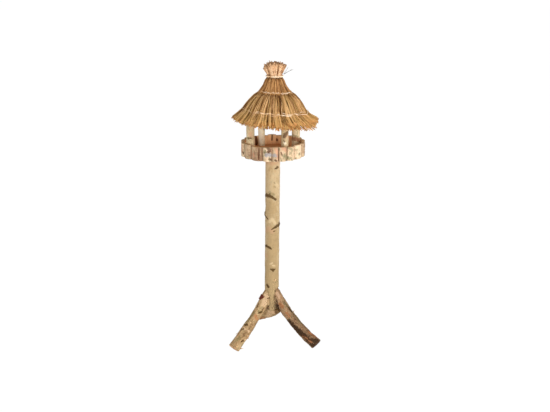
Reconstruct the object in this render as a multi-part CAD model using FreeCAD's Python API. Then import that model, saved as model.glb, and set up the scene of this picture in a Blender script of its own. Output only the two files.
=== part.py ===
"""Thatched bird table on a birch trunk with three legs.

Millimetres, +Z up. The origin is on the ground below the middle of the tray. The front,
where a visitor stands, is -Y, and +X is to the visitor's right.
"""
import FreeCAD
import Part

import math
import os

from FreeCAD import Vector

# Heights above the ground
tray_rim_height = 1100.0
trunk_foot_height = 160.0

# Trunk: a birch log with a slight lean, flattened at its foot where each leg seats
trunk_diameter = 76.0
trunk_foot_offset = -9.0
trunk_top_offset = -1.0
leg_flat_depth = 10.0
leg_flat_margin = 1.5

# Tray: a round floor board with a fence of split logs nailed to its edge
floor_diameter = 285.0
floor_thickness = 18.0
fence_height = 70.0
fence_below_floor = 5.0
stave_thickness = 22.0
stave_edge_thickness = 7.0
stave_joint_gap = 0.6
seat_clearance = 0.3

# Angle each split log takes round the floor, in degrees, anticlockwise from the front groove
# a little right of the middle, and how much each stands above or below the common rim
first_groove_azimuth = -79.5
stave_angles = (15.5, 16.0, 22.0, 20.0, 23.0, 18.0, 21.0, 24.0, 17.0,
                20.0, 22.0, 16.0, 23.0, 19.0, 22.5, 23.5, 16.5, 12.5)
stave_rise = (1.5, -1.0, 2.0, -1.5, 0.5, 2.0)

# Roof posts: azimuth of each round the tray and its diameter
roof_posts = ((200.0, 42.0), (120.0, 35.0), (299.0, 36.0), (14.0, 42.0))
roof_post_inset = 0.5
roof_post_height = 152.0

# Roof frame: round board on the posts, middle peg and rafters
roof_offset = 8.0
roof_board_margin = 29.0
roof_board_thickness = 15.0
peg_diameter = 28.0
peg_length = 227.0
rafter_count = 6
rafter_width = 12.0
rafter_depth = 15.0
rafter_foot_inset = 11.0
rafter_rise = 180.0

# Thatch: reed bundles side by side in two courses, and a tuft above the neck. The reeds lie
# reed_seat above the rafters, and the upper tie is lifted further above them. Other heights
# here are above the roof board, and the eave's overhangs are beyond its edge. The eave is
# trimmed by hand: its cut is eave_cut_lean higher at one azimuth, and as much lower opposite.
bundle_gap = 0.6
reed_seat = 1.2
crown_share = 0.4
lower_bundle_count = 24
upper_bundle_count = 16
tuft_bundle_count = 12
neck_radius = 43.0
neck_bottom_rise = 198.0
neck_length = 19.0
upper_tie_radius = 84.0
upper_tie_lift = 50.8
lower_tie_overhang = 16.0
lower_tie_rise = 41.0
eave_overhang = 69.0
eave_rise = 2.0
eave_cut_overhang = 37.0
eave_cut_drop = 32.0
eave_cut_lean = 16.0
eave_cut_high_azimuth = 205.0
eave_raggedness = 4.0
tuft_radius = 61.0
tuft_tip_radius = 34.0
tuft_height = 63.0

# Ties: straw cord wound round the thatch
neck_cord_diameter = 5.0
slope_cord_diameter = 4.0
tie_turn_gap = 0.7
neck_tie_turns = 2.0
slope_tie_turns = 1.25

# Binding wire at the neck, with one end sticking out to the right
wire_diameter = 1.4
wire_reach = 52.0
wire_rise = 26.0
wire_seat_rise = 2.0

# Legs: azimuth of the flat on the trunk, height of the leg's middle line there, ground point
# of the heel, sag of the middle line and diameter of the branch
leg_heel_trim = 1.5
legs = {
    "leg_front_left": (205.0, 232.0, (-196.0, -186.0), 2.0, 61.0),
    "leg_front_right": (-22.0, 242.0, (208.0, -158.0), 12.0, 61.0),
    "leg_rear": (76.0, 170.0, (-71.0, 168.0), 0.5, 66.0),
}

# Screws: head diameter, head height, shank diameter, length. The leg screws go right through
# the trunk from its far side, two side by side, a little above the leg's middle line, and
# each pair points the way given here.
screw_head_sink = 0.5
leg_screw_grip = 22.0
leg_screw_spread = 20.0
leg_screw_rise = 6.0
leg_screw_azimuths = {"leg_front_left": 235.0, "leg_front_right": -52.0, "leg_rear": 76.0}
leg_screw = (11.0, 5.0, 6.0, trunk_diameter - leg_flat_depth + leg_screw_grip)
tray_screw = (10.0, 4.5, 5.0, 80.0)
tray_screw_circle_radius = 20.0
tray_screw_count = 3
post_screw = (9.0, 4.0, 4.5, 50.0)
peg_screw = (9.0, 4.0, 4.5, 50.0)

# Headless nails: diameter and length
stave_nail = (2.4, 34.0)
rafter_nail = (2.4, 28.0)
nail_sink = 2.0
fastener_clearance = 0.15

# Shanks and cords are drawn with flat sides, across their full diameter at the corners
nail_sides = 6
screw_sides = 8
cord_sides = 8

# Heights and radii that follow from the values above
fence_bottom = tray_rim_height - fence_height
floor_bottom = fence_bottom + fence_below_floor
floor_top = floor_bottom + floor_thickness
trunk_length = floor_bottom - trunk_foot_height
roof_board_bottom = floor_top + roof_post_height
roof_board_top = roof_board_bottom + roof_board_thickness
largest_post_radius = max(diameter for azimuth, diameter in roof_posts) / 2
roof_post_ring_radius = floor_diameter / 2 - largest_post_radius - roof_post_inset
roof_board_radius = roof_post_ring_radius + roof_board_margin
peg_top = roof_board_top + peg_length
neck_bottom = roof_board_top + neck_bottom_rise
neck_top = neck_bottom + neck_length
rafter_foot_radius = roof_board_radius - rafter_foot_inset
UP = Vector(0, 0, 1)
DOWN = Vector(0, 0, -1)


def polar(azimuth, radius, height):
    """Point at an azimuth in degrees, anticlockwise from +X."""
    angle = math.radians(azimuth)
    return Vector(radius * math.cos(angle), radius * math.sin(angle), height)


def save(name, shapes):
    """Write one sub-part, as one solid or as a group of separate solids."""
    shape = shapes[0] if len(shapes) == 1 else Part.makeCompound(shapes)
    shape.exportStep("parts/" + name + ".step")
    print(name, len(shapes), "solids", round(sum(s.Volume for s in shapes) / 1000, 1), "cm3")


def disc(radius, bottom, thickness, centre_x=0.0):
    return Part.makeCylinder(radius, thickness, Vector(centre_x, 0, bottom))


def polygon(centre, way, radius, sides):
    """Corners of a regular polygon about a centre, square to a way."""
    turn = FreeCAD.Rotation(UP, way)
    corners = []
    for number in range(sides):
        corners.append(centre + turn.multVec(polar(number * 360 / sides, radius, 0)))
    return corners


def flat_face(corners):
    return Part.Face(Part.makePolygon(corners + [corners[0]]))


def flat_sided_solid(sections, twisted=()):
    """Closed solid through lists of corners, with flat faces only.

    The sides named as twisted turn from one section to the next, so each is two triangles.
    """
    faces = [flat_face(sections[0]), flat_face(sections[-1])]
    sides = len(sections[0])
    for upper, lower in zip(sections[:-1], sections[1:]):
        for side in range(sides):
            after = (side + 1) % sides
            if side in twisted:
                faces.append(flat_face([upper[side], upper[after], lower[side]]))
                faces.append(flat_face([upper[after], lower[after], lower[side]]))
            else:
                faces.append(flat_face([upper[side], upper[after], lower[after], lower[side]]))
    shell = Part.makeShell(faces)
    shell.sewShape()
    solid = Part.makeSolid(shell)
    if solid.Volume < 0:
        solid.reverse()
    return solid


def screw(size, head_point, direction, grown=0.0):
    """Countersunk screw, head first at a point; grown by a clearance it cuts its own hole."""
    head_diameter, head_height, shank_diameter, length = size
    shank_start = head_point + direction * head_height
    tip = head_point + direction * (length + grown)
    head = polygon(head_point, direction, head_diameter / 2 + grown, screw_sides)
    neck = polygon(shank_start, direction, shank_diameter / 2 + grown, screw_sides)
    end = polygon(tip, direction, shank_diameter / 2 + grown, screw_sides)
    return flat_sided_solid([head, neck, end])


def nail(size, head_point, direction, grown=0.0):
    """Headless nail; grown by a clearance it cuts its own hole, open at the head."""
    diameter, length = size
    opening = nail_sink + 1 if grown else 0
    start = head_point - direction * opening
    outline = flat_face(polygon(start, direction, diameter / 2 + grown, nail_sides))
    return outline.extrude(direction * (length + grown + opening))


def holes(maker, size, places):
    """Cutters for a row of (head point, direction) places."""
    return [maker(size, point, direction, fastener_clearance) for point, direction in places]


def cut_all(solid, cutters):
    for cutter in cutters:
        solid = solid.cut(cutter)
    return solid.Solids[0]


# Trunk and legs

def trunk_axis(height):
    """Middle of the leaning trunk at a height."""
    share = (height - trunk_foot_height) / trunk_length
    lean = trunk_foot_offset + (trunk_top_offset - trunk_foot_offset) * share
    return Vector(lean, 0, height)


def leg_seat(name):
    """Middle and outward direction of the sawn flat on the trunk that a leg seats on."""
    azimuth, seat_height = legs[name][:2]
    outward = polar(azimuth, 1, 0)
    foot = trunk_axis(trunk_foot_height)
    flat = outward * (trunk_diameter / 2 - leg_flat_depth)
    return Vector(foot.x, foot.y, seat_height) + flat, outward


def leg_line(name):
    """Arc of the leg's middle line, from the flat on the trunk to the sawn foot."""
    azimuth, seat_height, heel_point, sag, diameter = legs[name]
    seat = leg_seat(name)[0]
    heel = Vector(heel_point[0], heel_point[1], 0)
    run = Vector(heel.x - seat.x, heel.y - seat.y, 0)
    reach = run.Length
    run.normalize()

    # The heel is the lowest point of the square-sawn end, so the end's centre lies further out
    tilt = math.atan2(seat.z - diameter / 2, reach)
    foot_tilt = tilt - 2 * math.atan(2 * sag * math.cos(tilt) / reach)
    end = heel + run * (diameter / 2 * math.sin(foot_tilt))
    end.z = diameter / 2 * math.cos(foot_tilt) - leg_heel_trim
    middle = (seat + end) * 0.5
    middle.z -= sag
    return Part.Arc(seat, middle, end)


def leg_screw_places(name):
    """Screws pass through the trunk from its far side into the leg."""
    outward = polar(leg_screw_azimuths[name], 1, 0)
    aside = outward.cross(UP)
    height = legs[name][1] + leg_screw_rise
    half_spread = leg_screw_spread / 2
    bark = math.sqrt((trunk_diameter / 2) ** 2 - half_spread ** 2)
    places = []
    for side in (-half_spread, half_spread):
        head = trunk_axis(height) - outward * (bark - screw_head_sink) + aside * side
        places.append((head, outward))
    return places


def half_space(point, outward, size, below, above):
    """Block on the outward side of an upright plane, from below to above the point."""
    block = Part.makeBox(size, 2 * size, below + above, Vector(0, -size, -below))
    block.Placement = FreeCAD.Placement(point, FreeCAD.Rotation(Vector(1, 0, 0), outward))
    return block


def make_leg(name):
    """A bent branch, mitred to the trunk, sawn square at its foot and trimmed at the heel."""
    diameter = legs[name][4]
    seat, outward = leg_seat(name)
    line = leg_line(name)
    circle = line.toShape().Curve
    way = line.tangent(line.FirstParameter)[0]

    # Start the branch inside the trunk, so that the mitre cut gives it its slanting face
    start_angle = math.degrees(diameter / circle.Radius)
    sweep = math.degrees(line.LastParameter - line.FirstParameter)
    end_face = Part.Face(Part.Wire(Part.Circle(seat, way, diameter / 2).toShape()))
    end_face.rotate(circle.Center, circle.Axis, -start_angle)
    branch = end_face.revolve(circle.Center, circle.Axis, start_angle + sweep)

    reach = 2 * line.length()
    leg = branch.common(half_space(seat, outward, reach, seat.z, reach))
    return cut_all(leg, holes(screw, leg_screw, leg_screw_places(name)))


def leg_flat_rise(name):
    """Height of the flat above and below the leg's middle line, for its slanting section."""
    outward = leg_seat(name)[1]
    line = leg_line(name)
    way = line.tangent(line.FirstParameter)[0]
    aside = way.dot(outward.cross(UP))
    return legs[name][4] / 2 * math.sqrt(1 - aside ** 2) / way.dot(outward) + leg_flat_margin


def tray_screw_places():
    top = trunk_axis(floor_bottom)
    places = []
    for number in range(tray_screw_count):
        spot = polar(90 + number * 360 / tray_screw_count, tray_screw_circle_radius, floor_top)
        head = Vector(spot.x + top.x, spot.y, floor_top - screw_head_sink)
        places.append((head, DOWN))
    return places


def make_trunk():
    foot, top = trunk_axis(trunk_foot_height), trunk_axis(floor_bottom)
    along = top - foot
    spare = trunk_diameter * abs(along.x) / along.z
    length = along.Length + 2 * spare
    along.normalize()
    log = Part.makeCylinder(trunk_diameter / 2, length, foot - along * spare, along)
    level = Part.makeBox(4 * trunk_diameter, 4 * trunk_diameter, trunk_length,
                         Vector(-2 * trunk_diameter, -2 * trunk_diameter, trunk_foot_height))
    trunk = log.common(level)
    for name in legs:
        seat, outward = leg_seat(name)
        trunk = trunk.cut(half_space(seat, outward, trunk_diameter, seat.z, leg_flat_rise(name)))
        trunk = cut_all(trunk, holes(screw, leg_screw, leg_screw_places(name)))
    return cut_all(trunk, holes(screw, tray_screw, tray_screw_places()))


# Tray

def stave_places():
    """Azimuth of the middle of each split log and the angle that it takes."""
    places = []
    start = first_groove_azimuth
    scale = 360 / sum(stave_angles)
    for angle in stave_angles:
        places.append((start + angle * scale / 2, angle * scale))
        start += angle * scale
    return places


def stave_nail_place(azimuth):
    """One nail through the middle of each split log into the floor's edge."""
    outward = polar(azimuth, 1, 0)
    height = floor_bottom + floor_thickness / 2
    bark = floor_diameter / 2 + seat_clearance + stave_thickness
    head = outward * (bark - nail_sink) + UP * height
    return head, outward * -1


def stave_half_width(angle):
    back = floor_diameter / 2 + seat_clearance
    return back * math.tan(math.radians(angle / 2)) - stave_joint_gap / 2


def make_stave(number, azimuth, angle):
    """Split log standing on end: sawn flat inside, round with bark outside."""
    half_width = stave_half_width(angle)
    back = floor_diameter / 2 + seat_clearance
    lean = stave_edge_thickness * math.tan(math.radians(angle / 2))
    edge = half_width + lean
    left_back = Vector(back, half_width, 0)
    right_back = Vector(back, -half_width, 0)
    left_edge = Vector(back + stave_edge_thickness, edge, 0)
    right_edge = Vector(back + stave_edge_thickness, -edge, 0)
    crown = Vector(back + stave_thickness, 0, 0)
    outline = Part.Wire([
        Part.LineSegment(left_back, right_back).toShape(),
        Part.LineSegment(right_back, right_edge).toShape(),
        Part.Arc(right_edge, crown, left_edge).toShape(),
        Part.LineSegment(left_edge, left_back).toShape(),
    ])
    rise = stave_rise[number % len(stave_rise)]
    stave = Part.Face(outline).extrude(Vector(0, 0, fence_height + rise))
    stave.rotate(Vector(0, 0, 0), UP, azimuth)
    stave.translate(Vector(0, 0, fence_bottom))
    return cut_all(stave, holes(nail, stave_nail, [stave_nail_place(azimuth)]))


def roof_post_points():
    return [polar(azimuth, roof_post_ring_radius, 0) for azimuth, diameter in roof_posts]


def roof_post_screw_places():
    """One screw up through the floor and one down through the roof board into each post."""
    places = []
    for point in roof_post_points():
        places.append((Vector(point.x, point.y, floor_bottom + screw_head_sink), UP))
        places.append((Vector(point.x, point.y, roof_board_top - screw_head_sink), DOWN))
    return places


def make_floor():
    floor = disc(floor_diameter / 2, floor_bottom, floor_thickness)
    cutters = holes(screw, tray_screw, tray_screw_places())
    cutters += holes(screw, post_screw, roof_post_screw_places()[::2])
    nails = [stave_nail_place(azimuth) for azimuth, angle in stave_places()]
    return cut_all(floor, cutters + holes(nail, stave_nail, nails))


def make_roof_post(number):
    azimuth, diameter = roof_posts[number]
    point = roof_post_points()[number]
    foot = Vector(point.x, point.y, floor_top)
    post = Part.makeCylinder(diameter / 2, roof_post_height, foot)
    places = roof_post_screw_places()[2 * number:2 * number + 2]
    return cut_all(post, holes(screw, post_screw, places))


# Roof frame

def rafter_azimuths():
    return [30 + number * 360 / rafter_count for number in range(rafter_count)]


def rafter_slope():
    """Height gained for each millimetre towards the peg."""
    return rafter_rise / (rafter_foot_radius - peg_diameter / 2)


def rafter_top(radius):
    """Height of the rafters' upper side at a radius."""
    return roof_board_top + (rafter_foot_radius - radius) * rafter_slope()


def rafter_level_cut():
    return rafter_depth * math.hypot(rafter_slope(), 1) / rafter_slope()


def rafter_nail_places():
    """One nail up through the board into the foot of each rafter."""
    height = roof_board_bottom + nail_sink
    grip = rafter_nail[1] - (roof_board_top - height)
    middle = rafter_foot_radius - (rafter_level_cut() + grip / rafter_slope()) / 2
    places = []
    for azimuth in rafter_azimuths():
        places.append((polar(azimuth, middle, height) + Vector(roof_offset, 0, 0), UP))
    return places


def make_rafters():
    """Slats with a level cut on the board and a plumb cut against the peg."""
    head_radius = peg_diameter / 2 + seat_clearance
    plumb_cut = rafter_depth * math.hypot(rafter_slope(), 1)
    corners = [
        Vector(rafter_foot_radius, 0, roof_board_top),
        Vector(head_radius, 0, rafter_top(head_radius)),
        Vector(head_radius, 0, rafter_top(head_radius) - plumb_cut),
        Vector(rafter_foot_radius - rafter_level_cut(), 0, roof_board_top),
    ]
    side = Part.Face(Part.makePolygon(corners + [corners[0]]))
    rafters = []
    for azimuth, cutter in zip(rafter_azimuths(), holes(nail, rafter_nail, rafter_nail_places())):
        rafter = side.extrude(Vector(0, rafter_width, 0))
        rafter.translate(Vector(0, -rafter_width / 2, 0))
        rafter.rotate(Vector(0, 0, 0), UP, azimuth)
        rafter.translate(Vector(roof_offset, 0, 0))
        rafters.append(rafter.cut(cutter).Solids[0])
    return rafters


def peg_screw_places():
    return [(Vector(roof_offset, 0, roof_board_bottom + screw_head_sink), UP)]


def make_roof_board():
    board = disc(roof_board_radius, roof_board_bottom, roof_board_thickness, roof_offset)
    cutters = holes(screw, post_screw, roof_post_screw_places()[1::2])
    cutters += holes(screw, peg_screw, peg_screw_places())
    return cut_all(board, cutters + holes(nail, rafter_nail, rafter_nail_places()))


def make_peg():
    peg = disc(peg_diameter / 2, roof_board_top, peg_length, roof_offset)
    return cut_all(peg, holes(screw, peg_screw, peg_screw_places()))


# Thatch

def bundle_section(row, half_angle):
    """Corners of a reed bundle across its reeds, with the outer side crowned in three flats."""
    outer_radius, outer_height, inner_radius, inner_height, crown = row
    outer = Vector(outer_radius, 0, outer_height)
    inner = Vector(inner_radius, 0, inner_height)
    outward = outer - inner
    outward.normalize()
    shoulder = outer - outward * crown
    tangent = math.tan(math.radians(half_angle))
    inner_half = Vector(0, inner.x * tangent - bundle_gap / 2, 0)
    shoulder_half = Vector(0, shoulder.x * tangent - bundle_gap / 2, 0)
    crown_half = shoulder_half * crown_share
    return [
        inner - inner_half,
        inner + inner_half,
        shoulder + shoulder_half,
        outer + crown_half,
        outer - crown_half,
        shoulder - shoulder_half,
    ]


def bundle_ring(rows, count, ragged_end, cut_lean):
    """Bundles side by side round the roof. The last row's reed ends vary in length, and their
    cut leans: it moves along the inner side by azimuth."""
    before, end = rows[-2], rows[-1]
    run = math.hypot(end[0] - before[0], end[1] - before[1])
    along = ((end[0] - before[0]) / run, (end[1] - before[1]) / run)
    inner_run = (end[2] - before[2]) / (before[3] - end[3])
    beside_crown = (2, 4)
    bundles = []
    for number in range(count):
        stretch = ragged_end * math.sin(7.3 * number + 1.1)
        out, up = along[0] * stretch, along[1] * stretch
        azimuth = 360 * (number + 0.5) / count - 90
        raised = cut_lean * math.cos(math.radians(azimuth - eave_cut_high_azimuth))
        ragged = (end[0] + out, end[1] + up, end[2] + out - raised * inner_run,
                  end[3] + up + raised, end[4])
        sections = [bundle_section(row, 180 / count) for row in rows[:-1] + [ragged]]
        bundle = flat_sided_solid(sections, beside_crown)
        bundle.rotate(Vector(0, 0, 0), UP, azimuth)
        bundle.translate(Vector(roof_offset, 0, 0))
        bundles.append(bundle)
    return bundles


def thatch_rows():
    """Rows of sections from the top of each course down to its cut ends.

    Each row is outer radius, outer height, inner radius, inner height and crown. The lower
    course starts tucked under the upper one and rests on the edge of the roof board.
    """
    peg_seat = peg_diameter / 2 + seat_clearance
    tie_r, tie_z = upper_tie_radius, rafter_top(upper_tie_radius) + upper_tie_lift
    shoulder_r = peg_seat + 27
    shoulder_z = rafter_top(shoulder_r) + 5

    # The lower course's top end keeps under the straight inner side of the upper course
    under_share = (tie_r - 24 - shoulder_r) / (tie_r - 6 - shoulder_r)
    under_z = shoulder_z + (tie_z - 7 - shoulder_z) * under_share - 2.1
    upper = [
        (neck_radius, neck_bottom, peg_seat, neck_bottom, 1.5),
        (neck_radius + 10, neck_bottom - 12, peg_seat + 9, neck_bottom - 20, 2.0),
        (neck_radius + 18, neck_bottom - 36, shoulder_r, shoulder_z, 2.5),
        (tie_r, tie_z, tie_r - 6, tie_z - 7, 2.5),
        (tie_r + 13, tie_z - 10, tie_r + 9, tie_z - 15, 2.0),
    ]
    low_r, low_z = roof_board_radius + lower_tie_overhang, roof_board_top + lower_tie_rise
    swell_r, swell_z = 0.35 * tie_r + 0.65 * low_r, 0.47 * tie_z + 0.53 * low_z
    lower = [
        (tie_r - 24, under_z, tie_r - 31, rafter_top(tie_r - 31) + reed_seat, 0.3),
        (tie_r + 7, tie_z - 17, tie_r - 7, rafter_top(tie_r - 7) + reed_seat, 0.3),
        (tie_r + 20, tie_z - 17, tie_r + 4, rafter_top(tie_r + 4) + 4, 2.5),
        (swell_r, swell_z, swell_r - 17, rafter_top(swell_r - 17) + 14, 4.0),
        (low_r - 9, low_z + 12, roof_board_radius - 9, roof_board_top + 17, 3.5),
        (low_r, low_z, roof_board_radius + seat_clearance, roof_board_top + seat_clearance, 3.0),
        (roof_board_radius + eave_overhang, roof_board_top + eave_rise,
         roof_board_radius + eave_cut_overhang, roof_board_top - eave_cut_drop, 4.5),
    ]
    tip = neck_top + tuft_height
    tuft = [
        (neck_radius, neck_bottom + seat_clearance, peg_seat, neck_bottom + seat_clearance, 1.5),
        (neck_radius, neck_top, peg_seat, neck_top, 1.5),
        (tuft_radius - 7, neck_top + 15, peg_seat, peg_top + 0.5, 2.5),
        (tuft_radius, tip - 31, 2.5, peg_top + 5, 3.0),
        (tuft_radius - 8, tip - 14, 2.5, tip - 18, 3.0),
        (tuft_tip_radius, tip - 1, 2.5, tip - 8, 2.0),
    ]
    return upper, lower, tuft


# Ties

def biarc(start, start_way, end, end_way):
    """Two arcs that leave start along one way and reach end along another, smoothly joined."""
    chord = end - start
    ways = start_way + end_way
    spread = 2 * (start_way.dot(end_way) - 1)
    chord_on_ways = chord.dot(ways)
    chord_square = chord.dot(chord)
    root = math.sqrt(chord_on_ways ** 2 - spread * chord_square)
    reach = (chord_on_ways - root) / spread
    joint = (start + start_way * reach + end - end_way * reach) * 0.5
    return [tangent_arc(start, start_way, joint), tangent_arc(end, end_way * -1, joint)]


def tangent_arc(start, way, end):
    """Arc from start, leaving along a way, to end."""
    chord = end - start
    along = way * chord.dot(way)
    aside = chord - along
    side = Vector(aside)
    side.normalize()
    radius = chord.dot(chord) / (2 * aside.Length)
    centre = start + side * radius
    half = (start - centre + end - centre)
    half.normalize()
    return Part.Arc(start, centre + half * radius, end)


def wound_cord(place, turns, cord_diameter):
    """One unbroken cord along place(angle), by quarter turns, with square-cut ends."""
    quarters = int(round(4 * turns))
    step = math.pi / 2
    small = 1e-4
    edges = []
    for number in range(quarters):
        ends = []
        for angle in (number * step, (number + 1) * step):
            way = place(angle + small) - place(angle - small)
            way.normalize()
            ends.append((place(angle), way))
        (start, start_way), (end, end_way) = ends
        first, second = biarc(start, start_way, end, end_way)
        edges += [first.toShape(), second.toShape()]
    path = Part.Wire(edges)
    section = flat_face(polygon(place(0), edges[0].tangentAt(0), cord_diameter / 2, cord_sides))
    cord = path.makePipeShell([section.OuterWire], True, False)
    print("winding of", turns, "turns, least gap to itself",
          round(least_gap(place, turns, cord_diameter), 2), "mm")
    return cord if cord.ShapeType == "Solid" else cord.Solids[0]


def least_gap(place, turns, cord_diameter):
    """Least space between one turn and the next, measured on points."""
    samples = 72
    full = 2 * math.pi
    count = int(samples * (turns - 1)) + 1
    gaps = []
    for number in range(count):
        angle = number * full / samples
        near = [place(angle + full + shift * full / samples) for shift in (-2, -1, 0, 1, 2)]
        gaps.append(min((place(angle) - point).Length for point in near))
    return min(gaps) - cord_diameter


def neck_tie_place(angle):
    pitch = neck_cord_diameter + tie_turn_gap
    height = (neck_bottom + neck_top) / 2 + pitch * (angle / (2 * math.pi) - neck_tie_turns / 2)
    radius = neck_radius + seat_clearance + neck_cord_diameter / 2
    point = polar(math.degrees(angle), radius, height)
    return point + Vector(roof_offset, 0, 0)


def slope_tie_place(upper_point, lower_point):
    """Winding that starts at one point of the slope and steps down it turn by turn."""
    slope = Vector(lower_point[0] - upper_point[0], 0, lower_point[1] - upper_point[1])
    slope.normalize()
    normal = Vector(-slope.z, 0, slope.x)
    lift = seat_clearance + slope_cord_diameter / 2
    start = Vector(upper_point[0], 0, upper_point[1]) + normal * lift + slope
    pitch = slope_cord_diameter + tie_turn_gap

    def place(angle):
        along = start + slope * (pitch * angle / (2 * math.pi))
        return polar(math.degrees(angle) + 60, along.x, along.z) + Vector(roof_offset, 0, 0)

    return place


def make_neck_wire():
    """Stiff wire that leaves the reeds above the neck tie and bends up, ending free."""
    tuft_base, tuft_swell = thatch_rows()[2][1:3]
    flare = (tuft_swell[0] - tuft_base[0]) / (tuft_swell[1] - tuft_base[1])
    reeds = tuft_base[0] + wire_seat_rise * flare
    start = Vector(roof_offset + reeds + seat_clearance + wire_diameter / 2, 0,
                   neck_top + wire_seat_rise)
    bend = start + Vector(0.35 * wire_reach, -6, 0.2 * wire_rise)
    end = start + Vector(wire_reach, -10, wire_rise)
    arc = Part.Arc(start, bend, end)
    way = arc.tangent(arc.FirstParameter)[0]
    section = flat_face(polygon(start, way, wire_diameter / 2, cord_sides))
    wire = Part.Wire([arc.toShape()]).makePipeShell([section.OuterWire], True, False)
    return wire if wire.ShapeType == "Solid" else wire.Solids[0]


def main():
    os.makedirs("parts", exist_ok=True)

    save("trunk", [make_trunk()])
    leg_screws = []
    for name in legs:
        save(name, [make_leg(name)])
        leg_screws += [screw(leg_screw, *place) for place in leg_screw_places(name)]
    save("leg_screws", leg_screws)

    save("tray_floor", [make_floor()])
    save("tray_screws", [screw(tray_screw, *place) for place in tray_screw_places()])
    for number, (azimuth, angle) in enumerate(stave_places()):
        save("stave_%02d" % (number + 1), [make_stave(number, azimuth, angle)])
    nails = [nail(stave_nail, *stave_nail_place(azimuth)) for azimuth, angle in stave_places()]
    save("stave_nails", nails)

    for number in range(len(roof_posts)):
        save("roof_post_%d" % (number + 1), [make_roof_post(number)])
    save("roof_post_screws", [screw(post_screw, *place) for place in roof_post_screw_places()])

    save("roof_board", [make_roof_board()])
    save("roof_peg", [make_peg()])
    save("roof_peg_screw", [screw(peg_screw, *place) for place in peg_screw_places()])
    save("rafters", make_rafters())
    save("rafter_nails", [nail(rafter_nail, *place) for place in rafter_nail_places()])

    upper, lower, tuft = thatch_rows()
    save("thatch_lower", bundle_ring(lower, lower_bundle_count, eave_raggedness, eave_cut_lean))
    save("thatch_upper", bundle_ring(upper, upper_bundle_count, 0.0, 0.0))
    save("thatch_tuft", bundle_ring(tuft, tuft_bundle_count, 0.0, 0.0))

    save("tie_neck", [wound_cord(neck_tie_place, neck_tie_turns, neck_cord_diameter)])
    upper_place = slope_tie_place(upper[3][:2], upper[4][:2])
    lower_place = slope_tie_place(lower[5][:2], lower[6][:2])
    save("tie_upper", [wound_cord(upper_place, slope_tie_turns, slope_cord_diameter)])
    save("tie_lower", [wound_cord(lower_place, slope_tie_turns, slope_cord_diameter)])
    save("neck_wire", [make_neck_wire()])
    print("overall height", neck_top + tuft_height, "mm")


main()
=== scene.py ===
"""A garden bird table: birch logs and branches carry a ring of half logs under a reed thatch.

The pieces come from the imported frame. Each section below finishes one piece or one group of
like pieces, from the ground up.
"""

import math

import bpy
import numpy as np
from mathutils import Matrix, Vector, noise


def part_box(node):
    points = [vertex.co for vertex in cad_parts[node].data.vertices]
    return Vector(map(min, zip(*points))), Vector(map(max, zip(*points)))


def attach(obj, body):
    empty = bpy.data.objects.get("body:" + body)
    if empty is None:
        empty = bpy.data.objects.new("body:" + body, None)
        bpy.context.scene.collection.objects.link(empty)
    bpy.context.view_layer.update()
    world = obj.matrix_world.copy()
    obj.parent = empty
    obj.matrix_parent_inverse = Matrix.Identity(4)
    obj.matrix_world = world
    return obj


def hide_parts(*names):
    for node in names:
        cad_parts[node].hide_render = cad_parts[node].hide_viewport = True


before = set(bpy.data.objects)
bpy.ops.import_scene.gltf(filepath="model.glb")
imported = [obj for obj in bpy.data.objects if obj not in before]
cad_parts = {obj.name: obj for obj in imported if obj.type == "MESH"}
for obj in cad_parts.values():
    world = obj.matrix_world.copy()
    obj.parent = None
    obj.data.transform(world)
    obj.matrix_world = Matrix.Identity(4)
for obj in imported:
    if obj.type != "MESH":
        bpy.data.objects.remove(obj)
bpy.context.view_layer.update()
bpy.ops.object.select_all(action="DESELECT")


# Camera, floor and light. The camera looks a little down at the whole table from the front.
# The floor and the sky are plain white to the eye, and the lamps are large and soft.

# The camera's place, how many degrees it looks down, and its lens and sensor in millimetres
eye, looks_down, lens, sensor = (0.01, -3.34, 1.83), 17.9, 43.66, 36.0
bpy.ops.object.camera_add(location=eye, rotation=(math.radians(90 - looks_down), 0, 0))
camera = bpy.context.object
camera.data.sensor_width = sensor
camera.data.lens = lens
bpy.context.scene.camera = camera
bpy.context.scene.view_settings.view_transform = "Standard"


def paint(red, green, blue):
    """A colour as it looks on a screen, from 0 to 255, as the linear light that a shader takes."""
    levels = (level / 255 for level in (red, green, blue))
    return tuple(x / 12.92 if x <= 0.04045 else ((x + 0.055) / 1.055) ** 2.4 for x in levels)


def paints(colours):
    return [paint(*colour) for colour in colours]


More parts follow.
